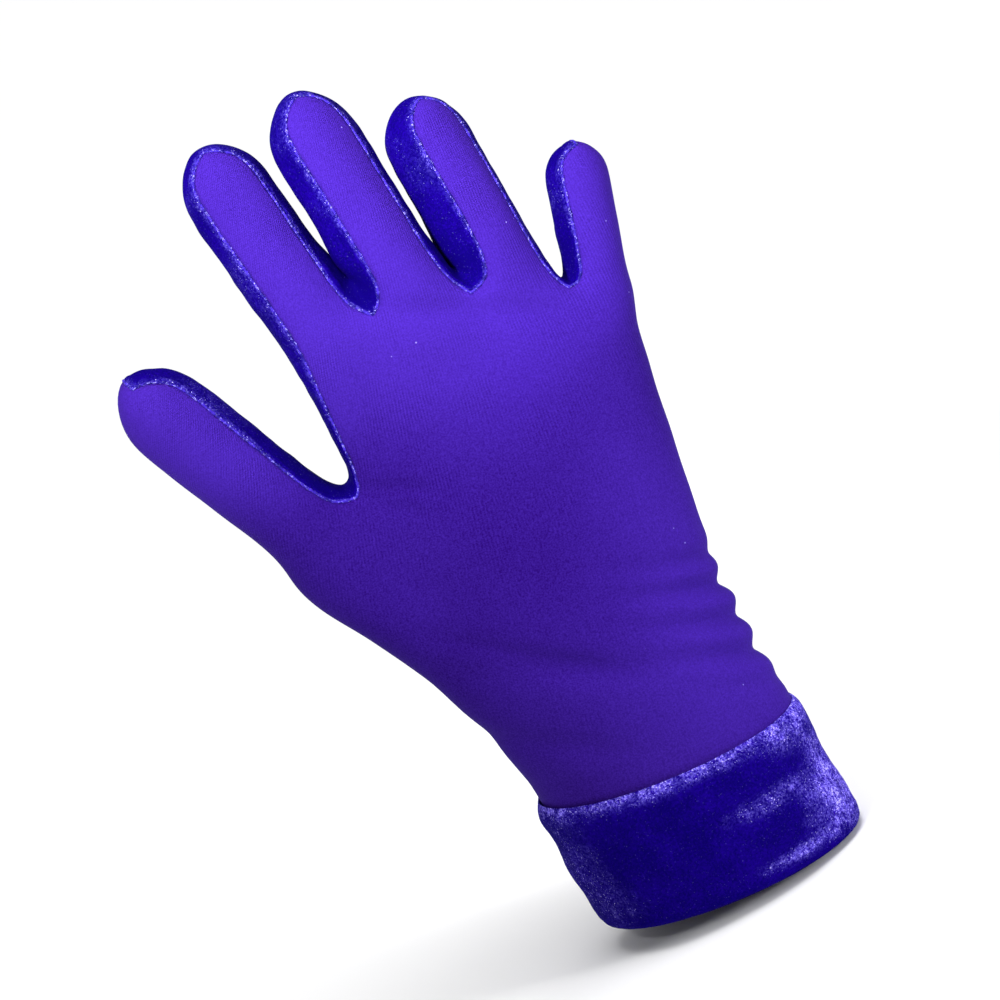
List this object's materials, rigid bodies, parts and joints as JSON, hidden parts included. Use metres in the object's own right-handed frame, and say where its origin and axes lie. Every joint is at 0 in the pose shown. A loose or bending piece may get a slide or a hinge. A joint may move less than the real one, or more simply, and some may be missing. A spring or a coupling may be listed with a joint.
{
  "type": "figure skating glove",
  "caption": "Right-hand stretch fabric glove with a velvet gusset round the fingers and thumb and a folded velvet cuff, keeping the form of a spread hand.",
  "frame": {"origin": "centre of the wrist opening, level with the middle of the cuff's folded edge", "axes": "+Z from the wrist to the fingers, -Y out of the back of the hand, the thumb towards -X"},
  "size_m": [0.1284, 0.0494, 0.2185],
  "materials": {
    "stretch_fabric": "matte fine rib knit",
    "velvet": "short crushed pile with a pale sheen"
  },
  "bodies": {
    "root": {"back_panel": "stretch_fabric", "palm_panel": "stretch_fabric", "finger_gusset": "velvet", "cuff": "velvet"}
  },
  "joints": []
}
